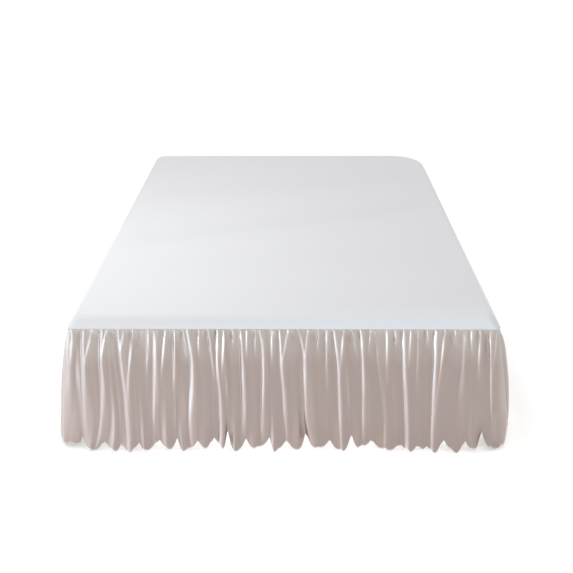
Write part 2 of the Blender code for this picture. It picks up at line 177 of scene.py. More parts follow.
# A gather is a short fold that starts at the seam and dies out: where it starts, where it ends,
# and how far down it reaches as a share of the drop.
GATHERS = (
    # seam, end, reach
    (-0.768, -0.764, 0.30),
    (-0.742, -0.748, 0.24),
    (-0.671, -0.703, 0.26),
    (-0.621, -0.645, 0.24),
    (-0.557, -0.580, 0.20),
    (-0.530, -0.553, 0.48),
    (-0.476, -0.484, 0.33),
    (-0.414, -0.434, 0.40),
    (-0.384, -0.390, 0.48),
    (-0.356, -0.343, 0.20),
    (-0.298, -0.298, 0.20),
    (-0.266, -0.243, 0.44),
    (-0.207, -0.218, 0.38),
    (-0.182, -0.177, 0.12),
    (-0.128, -0.129, 0.26),
    (-0.100, -0.098, 0.20),
    (-0.040, -0.041, 0.30),
    (0.016, -0.003, 0.27),
    (0.085, 0.077, 0.26),
    (0.121, 0.122, 0.18),
    (0.149, 0.156, 0.46),
    (0.211, 0.202, 0.32),
    (0.237, 0.259, 0.20),
    (0.307, 0.299, 0.22),
    (0.363, 0.368, 0.42),
    (0.389, 0.397, 0.14),
    (0.447, 0.442, 0.28),
    (0.471, 0.474, 0.42),
    (0.503, 0.507, 0.12),
    (0.565, 0.546, 0.62),
    (0.599, 0.601, 0.12),
    (0.658, 0.662, 0.16),
    (0.686, 0.693, 0.38),
    (0.747, 0.741, 0.34),
    (0.786, 0.790, 0.26),
)

# A swell is a broad fold that opens near the hem: where its crest and the hollow after it lie
# along the hem, and how far out from the seam each of them stands there.
SWELLS = (
    # crest, out, hollow, out
    (-0.806, 0.095, -0.776, 0.091),
    (-0.756, 0.095, -0.736, 0.083),
    (-0.702, 0.100, -0.650, 0.085),
    (-0.616, 0.100, -0.592, 0.089),
    (-0.566, 0.100, -0.524, 0.084),
    (-0.505, 0.098, -0.449, 0.080),
    (-0.418, 0.096, -0.386, 0.081),
    (-0.364, 0.099, -0.312, 0.082),
    (-0.284, 0.093, -0.252, 0.078),
    (-0.220, 0.092, -0.203, 0.067),
    (-0.178, 0.100, -0.136, 0.080),
    (-0.105, 0.094, -0.050, 0.078),
    (-0.034, 0.099, 0.008, 0.082),
    (0.056, 0.096, 0.079, 0.072),
    (0.118, 0.092, 0.168, 0.083),
    (0.210, 0.098, 0.246, 0.074),
    (0.272, 0.092, 0.314, 0.081),
    (0.374, 0.096, 0.427, 0.089),
    (0.455, 0.097, 0.480, 0.089),
    (0.502, 0.094, 0.518, 0.090),
    (0.541, 0.098, 0.580, 0.079),
    (0.627, 0.100, 0.659, 0.082),
    (0.691, 0.097, 0.720, 0.072),
    (0.752, 0.097, 0.780, 0.070),
    (0.808, 0.094, 0.835, 0.086),
)
FIRST_HOLLOW = (-0.835, 0.087)

# The folds of the two sides follow one rule, each side from its own first count: a fold's pitch and
# its spread, where its crest lies in it, how far crest and hollow stand out, its ridge, its gathers.
SIDE_FIRST_COUNT = {-1: 3, 1: 11}
SIDE_FOLD_PITCH = 0.088
SIDE_PITCH_SPREAD = 0.030
SIDE_CREST_PLACE = (0.38, 0.58)
SIDE_CREST_OUT = (0.090, 0.099)
SIDE_HOLLOW_OUT = (0.079, 0.089)
LAST_CREST_OUT = 0.094
LAST_OUT = 0.088
SIDE_RIDGE_RISE = (0.009, 0.014)
SIDE_DRIFT = 0.020
GATHERS_PER_SIDE_FOLD = 2
SIDE_GATHER_SHIFT = (-0.012, 0.012)
SIDE_GATHER_REACH = (0.12, 0.45)
GOLDEN = 0.6180339887

# Soft troughs across the deck, which fade out this far inside its edges. The cotton is also
# painted darker in them, as painted shade.
TROUGH_EDGE = 0.12
TROUGHS = (
    # where it crosses the centre line, slope, half width, depth
    (0.93, 0.33, 0.10, 0.0024),
    (1.45, 0.22, 0.13, 0.0016),
    (0.50, 0.10, 0.12, 0.0009),
)

# The ruffle cloth's bands, by height over the hem: where each starts, where it is full, and how much
# of it there is. Painted shade darkens the cloth towards the hem, painted sheen makes it paler and
# greyer near the seam, and thread covers the hem's edge.
LOW_SHADE_BAND = (0.34, 0.0, 0.8)
TOP_SHEEN_BAND = (0.31, 0.455, 1.0)
THREAD_EDGE = (0.0042, 0.0034, 1.0)
STITCH_PITCH = 0.0016

# Painted shade on the hanging rim, as a share of the painted shade in the deepest trough.
RIM_PAINTED_SHADE = 0.8

# The base stands a little inside and under the panel. Its edge is rolled, one sewn welt runs round
# it under the seam and one over its feet, and its sides swell a little between them.
BASE_INSET = 0.004
BASE_DROP = 0.0023
BASE_ROLL = 0.0207
WELT_UNDER_SEAM = 0.022
WELT_OVER_FEET = 0.020
SIDE_SWELL = 0.0015
BOTTOM_ROLL = 0.008
BOTTOM_INSET = 0.030
BOTTOM_FLAT_PLACE = 5.0

# A foot's sides and outline: its floor end, its chamfer, the head over its long taper, its round top.
FOOT_SIDES = 72
FOOT_TAPER = 0.75
FOOT_CHAMFER = 0.0025
FOOT_HEAD = 0.016
FOOT_ROUND = 0.0015
FOOT_GROOVE = (
    # share of the top radius, height over the taper's end
    (0.97, 0.0),
    (0.93, 0.0008),
    (0.92, 0.0020),
    (0.93, 0.0032),
    (0.985, 0.0042),
)

# Lamps, measured from the foot of the bed. A lamp with no size is a far, narrow spot.
LAMPS = (
    # name, its setting, place, target, size, colour
    ("window", "window", (-7.0, -0.80, 0.66), (0.0, -1.18, 0.26), None, (0.73, 0.95, 1.12)),
    ("front_lamp", "front", (-2.3, -1.7, 0.25), (0.0, 0.0, 0.25), (1.2, 0.9), (0.88, 0.98, 1.06)),
    ("softbox", "softbox", (-1.0, 0.45, 2.1), (-1.0, 0.45, 0.5), (0.5, 0.8), (0.96, 0.98, 1.0)),
    ("side_lamp_left", "side_lamp", (-1.9, 9.0, 0.42), (-2.12, 1.0, 0.25), None, (0.96, 0.98, 1.0)),
    ("side_lamp_right", "side_lamp", (1.9, 9.0, 0.42), (2.12, 1.0, 0.25), None, (0.96, 0.98, 1.0)),
)
SPOT_CONE = math.radians(20)
SPOT_BLEND = 0.1
SPOT_RADIUS = 0.08

# Lamps that face straight down just over the floor.
FLOOR_LIGHTS = (
    # name, place, size, share of the setting's strength
    ("under_light", (0.0, 0.62, 0.114), (1.5, 1.34), 1.0),
    ("floor_light_front", (0.0, -0.72, 0.20), (2.2, 1.10), 0.06),
    ("floor_light_right", (1.62, 0.95, 0.20), (1.2, 2.80), 0.22),
)
FLOOR_REACH = 30.0

# The camera is measured from the foot of the bed and from its top. It looks down and a touch to the left.
CAMERA_PLACE = (0.042, -2.498, 1.316)
CAMERA_PITCH, CAMERA_YAW, CAMERA_ROLL = (math.radians(angle) for angle in (25.57, -0.70, -0.25))


# ---------------------------------------------------------------- settings


def number(name, description, default, **kind):
    """A number, with its unit or subtype."""
    return bpy.props.FloatProperty(name=name, description=description, default=default, **kind)


def colour(name, description, default):
    """A colour."""
    description = f"Colour of {description}, as an sRGB hex value"
    return bpy.props.StringProperty(name=name, description=description, default=default)


class DeckSettings(bpy.types.PropertyGroup):
    """Sizes and colours of the deck panel."""

    cloth: number("Cloth", "Thickness of the deck cloth", 0.0015, unit="LENGTH")
    bead: number("Seam bead", "How far the turned allowance stands out over the seam", 0.0012, unit="LENGTH")
    cotton: colour("Cotton", "the bleached cotton", "C9C9CB")


class RuffleSettings(bpy.types.PropertyGroup):
    """Sizes and colours of the ruffle."""

    cloth: number("Cloth", "Thickness of the ruffle cloth", 0.0014, unit="LENGTH")
    column: number("Column", "Width of one column of faces along the hem", 0.0022, unit="LENGTH")
    scallop_pitch: number("Scallop pitch", "Width of one scallop of the hem", 0.044, unit="LENGTH")
    scallop_depth: number("Scallop depth", "Depth of one scallop of the hem", 0.008, unit="LENGTH")
    nap: colour("Microfibre", "the brushed microfibre", "765644")
    # Painted sheen: the paler, greyer colour painted on the upper cloth near the seam.
    painted_top_sheen: colour("Painted top sheen", "the microfibre where the gathers press its nap flat", "9A8E86")
    # Painted shade: the deeper brown painted on the cloth towards the hem.
    painted_low_shade: colour("Painted low shade", "the microfibre down at the hem", "64391C")
    thread: colour("Hem thread", "the overlocked hem's thread", "B3A39C")


class BaseSettings(bpy.types.PropertyGroup):
    """Sizes and colours of the base and its feet."""

    welt: number("Welt", "Radius of the sewn welts round the base", 0.003, unit="LENGTH")
    cover: colour("Cover", "the base's woven cover", "CBC4BA")
    wood: colour("Beech", "the oiled beech feet", "C49A6C")


class StageSettings(bpy.types.PropertyGroup):
    """The floor, the daylight and the camera."""

    sky: number("Sky", "Strength of the even light from all round", 1.06)
    window: number("Window", "Power of the far lamp on the left", 3500.0, subtype="POWER")
    front: number("Front lamp", "Power of the low lamp in front on the left", 17.0, subtype="POWER")
    softbox: number("Softbox", "Power of the near lamp on the upper left", 14.2, subtype="POWER")
    side_lamp: number("Side lamps", "Power of each far lamp that skims one side", 1800.0, subtype="POWER")
    floor_light: number("Floor lights", "Watts per square metre of the lamps over the floor", 4.5)
    floor: colour("Floor", "the studio floor", "FBFBFB")
    lens: number("Lens", "Focal length of the camera in millimetres", 50.72)


# ---------------------------------------------------------------- folds


def seam_runs(side):
    """Runs along the seam on one side: half the foot, the foot arc, the side; and the head arc's radius."""
    head_radius = np.where(side < 0, HEAD_CORNER_LEFT, HEAD_CORNER_RIGHT) + SEAM_OUT
    foot_half = BED_WIDTH / 2 + SEAM_OUT - SEAM_CORNER
    straight = BED_LENGTH + 2 * SEAM_OUT - SEAM_CORNER - head_radius
    return foot_half, SEAM_CORNER * math.pi / 2, straight, head_radius


def seam_path(s):
    """Place on the seam line at s and the outward direction there, as arrays x, y, nx, ny."""
    side = np.where(s < 0, -1, 1)
    foot_half, foot_arc, straight, head_radius = seam_runs(side)
    past_foot = np.abs(s) - foot_half
    past_side = past_foot - foot_arc - straight
    foot_angle = np.clip(past_foot / SEAM_CORNER, 0, math.pi / 2)
    head_angle = np.clip(past_side / head_radius, 0, math.pi / 2)
    turn = foot_angle + head_angle
    x = np.clip(np.abs(s), 0, foot_half) + SEAM_CORNER * np.sin(foot_angle)
    x = x - head_radius * (1 - np.cos(head_angle))
    y = SEAM_CORNER * (1 - np.cos(foot_angle)) + np.clip(past_foot - foot_arc, 0, straight)
    y = y + head_radius * np.sin(head_angle) - SEAM_OUT
    return side * x, y, side * np.sin(turn), -np.cos(turn)


def seam_end(side):
    """The seam coordinate where the ruffle ends, round the head corner of one side."""
    foot_half, foot_arc, straight, head_radius = seam_runs(side)
    return side * float(foot_half + foot_arc + straight + head_radius * HEAD_TURN)


def vary(count, low, high):
    """A value between low and high that jumps about evenly as count goes up."""
    return low + (high - low) * ((count * GOLDEN) % 1.0)


def side_folds(side):
    """Ridges, gathers and swells of one side, from the foot strip's end to the head."""
    ridges, gathers, swells = [], [], []
    end = abs(seam_end(side))
    hollow = STRIP_END
    count = SIDE_FIRST_COUNT[side]
    while hollow + SIDE_FOLD_PITCH + SIDE_PITCH_SPREAD < end:
        pitch = SIDE_FOLD_PITCH + vary(count, -0.5, 0.5) * SIDE_PITCH_SPREAD
        crest = hollow + pitch * vary(count + 5, *SIDE_CREST_PLACE)
        next_hollow = hollow + pitch
        swells.append((side * crest, vary(count + 2, *SIDE_CREST_OUT),
                       side * next_hollow, vary(count + 7, *SIDE_HOLLOW_OUT)))
        wander = side * SIDE_DRIFT * vary(count + 1, -0.5, 0.5)
        rise = vary(count + 4, *SIDE_RIDGE_RISE)
        line = side * crest
        ridges.append((line - wander, line - 0.7 * wander, line - 0.4 * wander, line, rise, rise))
        for step in range(GATHERS_PER_SIDE_FOLD):
            start = crest + pitch * (step + 1) / (GATHERS_PER_SIDE_FOLD + 1)
            shift = vary(count + 3 * step, *SIDE_GATHER_SHIFT)
            reach = vary(count + 6 + 2 * step, *SIDE_GATHER_REACH)
            gathers.append((side * start, side * (start + shift), reach))
        hollow = next_hollow
        count += 1
    swells.append((side * (hollow + 0.5 * (end - hollow)), LAST_CREST_OUT, side * end, LAST_OUT))
    return ridges, gathers, swells


def all_folds():
    """Ridges, gathers and hem points of the whole ruffle, each in order along the seam."""
    left, right = side_folds(-1), side_folds(1)
    ridges = sorted(left[0] + list(RIDGES) + right[0])
    gathers = left[1] + list(GATHERS) + right[1]
    points = [FIRST_HOLLOW]
    for crest, out, hollow, hollow_out in left[2] + list(SWELLS) + right[2]:
        points += [(crest, out), (hollow, hollow_out)]
    return np.array(ridges), np.array(gathers), np.array(sorted(points))


RIDGE_TABLE, GATHER_TABLE, HEM_TABLE = all_folds()


def crest_line(ridge, t):
    """Where a ridge's crest lies at depth t: the cubic through its four places."""
    knots = (0.0, 0.2, 0.5, 1.0)
    return sum(place * math.prod((t - other) / (knot - other) for other in knots if other != knot)
               for place, knot in zip(ridge, knots))


def drift(q, t):
    """Seam coordinate at depth t of the cloth that meets the hem at q: it follows the ridges."""
    ends = np.array([seam_end(-1), -STRIP_END, STRIP_END, seam_end(1)])
    at_hem = np.concatenate([RIDGE_TABLE[:, 3], ends])
    at_depth = np.concatenate([crest_line(RIDGE_TABLE.T, t), ends])
    order = np.argsort(at_hem)
    return np.interp(q, at_hem[order], at_depth[order])


def section(x, t, span):
    """A fold's section at x from its crest: steep on the left, round on top, then evenly down."""
    flank = FLANK[0] + FLANK[1] * t
    shoulder = SHOULDER[0] + SHOULDER[1] * t
    climb = 1 - (1 - np.clip((x + flank) / (flank + shoulder), 0, 1) ** FLANK_EASE) ** 3
    return climb * (1 - np.clip(x / span, 0, 1))


def swell_out(q, lobed=False):
    """How far out the hem stands at q: half cosine waves from hollow to crest to hollow.

    The lobed kind, squares of the way from each crest, is round at the crests and sharp at the hollows.
    """
    place, out = HEM_TABLE.T
    i = np.clip(np.searchsorted(place, q) - 1, 0, len(place) - 2)
    part = np.clip((q - place[i]) / (place[i + 1] - place[i]), 0, 1)
    ease = 0.5 - 0.5 * np.cos(np.pi * part)
    if lobed:
        ease = np.where(out[i + 1] > out[i], 1 - (1 - part) ** 2, part ** 2)
    return out[i] + (out[i + 1] - out[i]) * ease


def draw_in(q):
    """How much nearer the seam the hem hangs: a bell round each foot corner, and half a bell at each end."""
    foot_half, foot_arc, _, _ = seam_runs(1)
    from_corner = np.abs(q) - foot_half - foot_arc / 2
    from_end = np.where(q < 0, -seam_end(-1), seam_end(1)) - np.abs(q)
    corner = CORNER_DRAW * np.exp(-(from_corner / CORNER_DRAW_WIDTH) ** 2)
    return corner + END_DRAW * np.exp(-(from_end / END_DRAW_WIDTH) ** 2)


def narrowing(place, t):
    """A fold's width along the seam over its width in the cloth, which fans out round a foot corner."""
    foot_half, foot_arc, _, _ = seam_runs(1)
    turning = 0 < abs(place) - foot_half < foot_arc
    return SEAM_CORNER / (SEAM_CORNER + MEAN_FLARE * t) if turning else 1.0


def puff(s, t):
    """The share of its height that a fold has reached: quarter sine waves, one steep and one slow."""
    first, second = (np.sin(np.pi / 2 * np.clip(t / depth, 0, 1)) for depth in PUFF_DEPTHS)
    share = 0.5 * np.clip((PUFF_EDGE - np.abs(s)) / PUFF_EDGE_FADE, 0, 1)
    return share * first + (1 - share) * second


def fold_out(s, t):
    """How far the ridges and gathers lift the cloth at seam coordinate s and depth t."""
    height = np.zeros_like(s)
    crests = np.array([crest_line(ridge, t) for ridge in RIDGE_TABLE])
    widest = GATHER_WIDTH + SPREAD * t
    spans = np.minimum(np.append(np.diff(crests), widest) - FLANK_ROOM, widest)
    for ridge, crest, span in zip(RIDGE_TABLE, crests, spans):
        rise = np.interp(t, (0.0, 0.5, 1.0), (0.7 * ridge[4], ridge[4], ridge[5]))
        height = np.maximum(height, rise * section((s - crest) / narrowing(crest, t), t, span))
    gather = np.zeros_like(s)
    for start, end, reach in GATHER_TABLE:
        place = start + (end - start) * min(t / reach, 1.0)
        rise = GATHER_RISE * max(1.0 - (t / (GATHER_FADE * reach)) ** 2, 0.0)
        gather = np.maximum(gather, rise * section((s - place) / narrowing(place, t), t, GATHER_WIDTH))
    return puff(s, t) * (height + gather)


def cloth_out(q, t):
    """How far the outer face hangs from the seam, for hem place q at depth t: flare + swell - pit + folds."""
    flare = MEAN_FLARE * (1 - (1 - t) ** FLARE_POWER)
    swell = (swell_out(q) - draw_in(q) - MEAN_FLARE) * t ** OPENING_POWER
    folds = fold_out(drift(q, t), t)
    pit = PIT_DEPTH * t / PIT_PLACE * math.exp(1 - t / PIT_PLACE) * np.exp(-folds / PIT_FADE)
    return flare + swell - pit + folds


def hem_columns(start, end, column, pitch):
    """Hem places of even columns along the folded hem and their cloth coordinate, up to the cloth's width.

    The cloth coordinate is the length along the folded hem, stretched a little so that a whole
    number of scallops fits.
    """
    q = np.arange(start, end, FINE_STEP)
    x, y, nx, ny = seam_path(q)
    out = cloth_out(q, 1.0)
    x, y = x + nx * out, y + ny * out
    length = np.concatenate([[0], np.hypot(np.diff(x), np.diff(y)).cumsum()])
    scallops = round(length[-1] / pitch)
    steps = scallops * round(pitch / column)
    cloth = np.linspace(0, scallops * pitch, steps + 1)
    return np.interp(cloth / cloth[-1] * length[-1], length, q), cloth


def shirring(s, t):
    """Puckers under the seam: two sine waves, the longer one uneven, that soon die out."""
    fade = np.clip(t / PUCKER_START, 0, 1) * np.clip(1 - t / PUCKER_END, 0, 1) ** 1.5
    long_wave, short_wave = (2 * np.pi * s / wave for wave in PUCKER_WAVES)
    return PUCKER_DEPTH * fade * (np.sin(long_wave + 2.5 * np.sin(23 * s)) + 0.3 * np.sin(short_wave))


def slack(s, t):
    """Slight unevenness of hanging cloth: sine waves that run down and a little across."""
    steep, flat = SLACK_WAVES
    wave = np.sin(2 * np.pi * (s / steep + 0.9 * t) + 1.3) * np.sin(2 * np.pi * (s / flat - 1.7 * t))
    ripple = np.sin(2 * np.pi * (s / RIPPLE_WAVE - 0.6 * t) + 4 * np.sin(9 * s)) * np.sin(np.pi * t) ** 2
    return SLACK_DEPTH * wave * t + RIPPLE_DEPTH * ripple


def ruffle_depths():
    """Depths of the rows: close together at the seam, wider down the drop, and fine at the hem."""
    upper = (1 - HEM_BAND) * np.linspace(0, 1, UPPER_ROWS) ** ROW_WIDENING
    return np.concatenate([upper, 1 - HEM_BAND * np.array(HEM_ROWS)])


# ---------------------------------------------------------------- meshes


def new_piece(name, points, groups, uv, replaces):
    """A mesh object from points in the bed's own place, with one UV pair for each.

    Each group is an array of faces with the same number of corners.
    """
    corners = np.concatenate([group.ravel() for group in groups]).astype(np.int32)
    sizes = np.concatenate([np.full(len(group), group.shape[1]) for group in groups])
    starts = np.concatenate([[0], sizes.cumsum()[:-1]]).astype(np.int32)
    mesh = bpy.data.meshes.new(name)
    mesh.vertices.add(len(points))
    mesh.vertices.foreach_set("co", (points + BED_PLACE).astype(np.float32).ravel())
    mesh.loops.add(len(corners))
    mesh.loops.foreach_set("vertex_index", corners)
    mesh.polygons.add(len(sizes))
    mesh.polygons.foreach_set("loop_start", starts)
    mesh.update(calc_edges=True)
    mesh.polygons.foreach_set("use_smooth", np.ones(len(sizes), dtype=bool))
    layer = mesh.uv_layers.new(name="UVMap")
    layer.data.foreach_set("uv", np.asarray(uv, dtype=np.float32)[corners].ravel())
    obj = bpy.data.objects.new(name, mesh)
    bpy.context.scene.collection.objects.link(obj)
    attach(obj, "root")
    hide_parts(*replaces)
    return obj


def grid_faces(rows, columns, first=0):
    """Faces of a grid whose corner (row, column) has the number first + row * columns + column."""
    corner = first + np.arange(rows * columns).reshape(rows, columns)
    around = [corner[:-1, :-1], corner[1:, :-1], corner[1:, 1:], corner[:-1, 1:]]
    return np.stack(around, axis=-1).reshape(-1, 4)


def grid_rim(rows, columns, first=0):
    """Corner numbers round a grid, in the order of plan_ring."""
    corner = first + np.arange(rows * columns).reshape(rows, columns)
    return np.concatenate([corner[0, :-1], corner[:-1, -1], corner[-1, :0:-1], corner[:0:-1, 0]])


def ring_faces(upper, lower):
    """Faces between two equal closed rings of corner numbers."""
    return np.stack([upper, lower, np.roll(lower, -1), np.roll(upper, -1)], axis=-1)


def plan_edges(out, foot_corner, across, along):
    """The bed's plan outline moved out by out, as its foot, right, head and left edges.

    Each edge is an eighth circle, a straight run and an eighth circle, in steps that are a little
    closer at its ends. Foot and head run to the right, and left and right run to the head.
    """
    half = BED_WIDTH / 2
    head_left, head_right = HEAD_CORNER_LEFT + out, HEAD_CORNER_RIGHT + out
    corners = {
        "foot_left": (foot_corner - half - out, foot_corner - out, foot_corner),
        "foot_right": (half + out - foot_corner, foot_corner - out, foot_corner),
        "head_right": (half + out - head_right, BED_LENGTH + out - head_right, head_right),
        "head_left": (head_left - half - out, BED_LENGTH + out - head_left, head_left),
    }
    edges = (
        # first corner, last corner, angles round the first, angles round the last, points
        ("foot_left", "foot_right", (225, 270), (270, 315), across),
        ("foot_right", "head_right", (315, 360), (0, 45), along),
        ("head_left", "head_right", (135, 90), (90, 45), across),
        ("foot_left", "head_left", (225, 180), (180, 135), along),
    )
    lines = []
    for first, last, first_angles, last_angles, count in edges:
        runs = []
        for corner, angles in ((first, first_angles), (last, last_angles)):
            centre_x, centre_y, radius = corners[corner]
            turn = np.radians(np.linspace(*angles, ARC_POINTS))
            x, y = centre_x + radius * np.cos(turn), centre_y + radius * np.sin(turn)
            runs.append(np.column_stack([x, y]))
        line = np.concatenate(runs)
        length = np.concatenate([[0], np.hypot(*np.diff(line, axis=0).T).cumsum()])
        step = np.linspace(0, 1, count)
        place = length[-1] * (step + EDGE_EASE * (0.5 - 0.5 * np.cos(np.pi * step) - step))
        lines.append(np.column_stack([np.interp(place, length, axis) for axis in line.T]))
    return lines


def plan_grid(edges):
    """A grid of plan points inside four edges: their blend less the blend of their corners."""
    foot, right, head, left = edges
    u = np.linspace(0, 1, len(foot))[None, :, None]
    v = np.linspace(0, 1, len(left))[:, None, None]
    return ((1 - v) * foot[None] + v * head[None] + (1 - u) * left[:, None] + u * right[:, None]
            - (1 - u) * (1 - v) * foot[0] - u * (1 - v) * foot[-1]
            - (1 - u) * v * head[0] - u * v * head[-1])


def plan_ring(edges):
    """Four edges as one closed ring, counter-clockwise from the foot's left corner."""
    foot, right, head, left = edges
    return np.concatenate([foot[:-1], right[:-1], head[:0:-1], left[:0:-1]])


def covering(rings, across, along, flat_corner=None):
    """Cloth over the bed: a grid inside the first ring, with the troughs, and the rings below it.

    Each ring is its distance out, height and foot corner. Gives the points, their places in the cloth
    laid flat, both from the grid on, the corner numbers round each ring, and how far out the flat
    cloth's edge lies.
    """
    out, z, corner = rings[0]
    top = plan_grid(plan_edges(out, corner, across, along)).reshape(-1, 2)
    points = [np.column_stack([top, z - troughs(*top.T)])]
    flats = [top]
    loops = [grid_rim(along, across)]
    first = len(top)
    flat_out = out
    for (before, above, _), (out, z, corner) in zip(rings, rings[1:]):
        flat_out += math.hypot(out - before, z - above)
        ring = plan_ring(plan_edges(out, corner, across, along))
        points.append(np.column_stack([ring, np.full(len(ring), z)]))
        flats.append(plan_ring(plan_edges(flat_out, flat_corner or corner, across, along)))
        loops.append(first + np.arange(len(ring)))
        first += len(ring)
    return points, flats, loops, flat_out


def troughs(x, y):
    """Depth of the soft troughs where the deck cloth lies slack: long Gaussian hollows across it."""
    depth = np.zeros_like(x)
    for place_y, slope, width, deep in TROUGHS:
        depth = depth + deep * np.exp(-((y - place_y - slope * x) / width) ** 2)
    for inside in (BED_WIDTH / 2 - ROLL_RADIUS - np.abs(x), y - ROLL_RADIUS, BED_LENGTH - ROLL_RADIUS - y):
        depth = depth * np.clip(inside / TROUGH_EDGE, 0, 1)
    return depth


def arc(centre_out, centre_z, radius, start, end, count):
    """Points (out, z) of a profile round an arc, at even angles from straight up."""
    return [(centre_out + radius * math.sin(angle), centre_z + radius * math.cos(angle))
            for angle in np.linspace(start, end, count)]


def lathe(name, profile, centre, sides, replaces):
    """A turned piece: the profile of (radius, height) points swung round the upright at centre.

    Each end is closed by one flat cap. UV is the turn round the piece and the height, in metres.
    """
    radius, height = np.array(profile).T
    turn = np.linspace(0, 2 * np.pi, sides, endpoint=False)
    x = centre[0] + radius[:, None] * np.cos(turn)
    y = centre[1] + radius[:, None] * np.sin(turn)
    z = np.repeat(height[:, None], sides, axis=1)
    points = np.stack([x, y, z], axis=2).reshape(-1, 3)
    uv = np.stack([np.repeat(turn[None] * radius.max(), len(radius), axis=0), z], axis=2).reshape(-1, 2)
    number = np.arange(len(points)).reshape(len(radius), sides)
    faces = [ring_faces(upper, lower) for lower, upper in zip(number, number[1:])]
    faces.append(np.stack([number[0, ::-1], number[-1]]))
    return new_piece(name, points, faces, uv, replaces)


# ---------------------------------------------------------------- materials


def linear(code, factor=1.0):
    """A hex sRGB colour, made darker or lighter by a factor, as linear RGBA.

    Each part is ((c + 0.055) / 1.055) ^ 2.4, or c / 12.92 where it is dark.
    """
    srgb = np.array([int(code[i:i + 2], 16) for i in (0, 2, 4)]) / 255
    flat = np.where(srgb <= 0.04045, srgb / 12.92, ((srgb + 0.055) / 1.055) ** 2.4)
    return (*np.minimum(factor * flat, 1.0).tolist(), 1.0)


def add_node(tree, kind, settings=None, inputs=None):
    """Add a shader node, set its properties and inputs, and link the inputs that are sockets."""
    node = tree.nodes.new(kind)
    for name, value in (settings or {}).items():
        setattr(node, name, value)
    for name, value in (inputs or {}).items():
        if isinstance(value, bpy.types.NodeSocket):
            tree.links.new(value, node.inputs[name])
        else:
            node.inputs[name].default_value = value
    return node


def new_material(name, space="UV"):
    """An empty node material, its tree and its texture coordinates."""
    material = bpy.data.materials.new(name)
    material.use_nodes = True
    tree = material.node_tree
    tree.nodes.clear()
    return material, tree, add_node(tree, "ShaderNodeTexCoord").outputs[space]


def set_surface(tree, inputs):
    """Give the material its Principled shader, with these inputs."""
    shader = add_node(tree, "ShaderNodeBsdfPrincipled", inputs=inputs)
    add_node(tree, "ShaderNodeOutputMaterial", inputs={"Surface": shader.outputs["BSDF"]})


def stretched_noise(tree, coordinates, scales, detail=2.0):
    """Noise whose grain is one over each scale, in metres, along each axis."""
    place = add_node(tree, "ShaderNodeMapping", inputs={"Vector": coordinates, "Scale": scales})
    return add_node(tree, "ShaderNodeTexNoise", inputs={
        "Vector": place.outputs["Vector"], "Scale": 1.0, "Detail": detail}).outputs["Fac"]


def waves(tree, coordinates, axis, pitch, distortion, detail=2.0):
    """Waves across one axis, one to each pitch."""
    return add_node(tree, "ShaderNodeTexWave", {"bands_direction": axis}, {
        "Vector": coordinates, "Scale": math.pi / 10 / pitch, "Distortion": distortion,
        "Detail": detail}).outputs["Fac"]


def threads(tree, coordinates, pitch):
    """Height of a plain weave: one wave across the threads of each direction, added up."""
    warp, weft = (waves(tree, coordinates, axis, pitch, 0.4, 1.0) for axis in ("X", "Y"))
    return add_node(tree, "ShaderNodeMath", {"operation": "ADD"}, {0: warp, 1: weft}).outputs["Value"]


def mixed(tree, factor, first, second, kind="RGBA"):
    """A blend of two colours, or of two heights where the kind is FLOAT, by a factor."""
    return add_node(tree, "ShaderNodeMix", {"data_type": kind}, {
        "Factor": factor, "A": first, "B": second}).outputs["Result"]


def toned(tree, factor, code, low, high):
    """A blend of two shades of one colour by a factor."""
    return mixed(tree, factor, linear(code, low), linear(code, high))


def ramp(tree, value, start, end, most=1.0):
    """A factor that runs from 0 where the value is start to most where it is end."""
    return add_node(tree, "ShaderNodeMapRange", inputs={
        "Value": value, "From Min": start, "From Max": end, "To Max": most}).outputs["Result"]


def bumped(tree, height, distance, strength=1.0):
    """A bumped normal from a height between 0 and 1 that stands for a distance in metres."""
    return add_node(tree, "ShaderNodeBump", inputs={
        "Height": height, "Distance": distance, "Strength": strength}).outputs["Normal"]


def brushed_microfibre(settings):
    """Brushed polyester microfibre: a short silky nap, with overlock thread along the hem.

    The real cloth is 150 g/m2 with a nap under half a millimetre. Seen side on, the nap gives a
    pale sheen along every fold, and the flat cloth stays a dull champagne brown. Its colour holds
    painted sheen, paler and greyer near the seam, and painted shade, deeper brown towards the hem.
    """
    material, tree, uv = new_material("brushed_microfibre")
    height = add_node(tree, "ShaderNodeSeparateXYZ", inputs={"Vector": uv}).outputs["Y"]
    nap = stretched_noise(tree, uv, (2800.0, 1300.0, 1.0))
    streaks = stretched_noise(tree, uv, (420.0, 16.0, 1.0))
    cloud = stretched_noise(tree, uv, (16.0, 7.0, 1.0))
    dull = toned(tree, streaks, settings.nap, 0.90, 1.02)
    bright = toned(tree, streaks, settings.nap, 0.98, 1.10)
    cloth = mixed(tree, cloud, dull, bright)
    # Painted shade: the cloth is painted deeper brown towards the hem.
    cloth = mixed(tree, ramp(tree, height, *LOW_SHADE_BAND), cloth, linear(settings.painted_low_shade))
    # Painted sheen: the cloth is painted paler and greyer near the seam.
    cloth = mixed(tree, ramp(tree, height, *TOP_SHEEN_BAND), cloth, linear(settings.painted_top_sheen))
    hem = ramp(tree, height, *THREAD_EDGE)
    stitches = waves(tree, uv, "X", STITCH_PITCH, 0.3)
    thread = toned(tree, stitches, settings.thread, 0.80, 1.0)
    brushed = mixed(tree, 0.35, nap, streaks, "FLOAT")
    normal = bumped(tree, mixed(tree, hem, brushed, stitches, "FLOAT"), 0.0002, 0.6)
    set_surface(tree, {
        "Base Color": mixed(tree, hem, cloth, thread),
        "Roughness": 0.44,
        "Specular IOR Level": 1.0,
        "Coat Weight": 1.0,
        "Coat Roughness": 0.38,
        "Coat IOR": 2.4,
        "Sheen Weight": 0.2,
        "Sheen Roughness": 0.3,
        "Normal": normal,
        "Coat Normal": normal,
    })
    return material


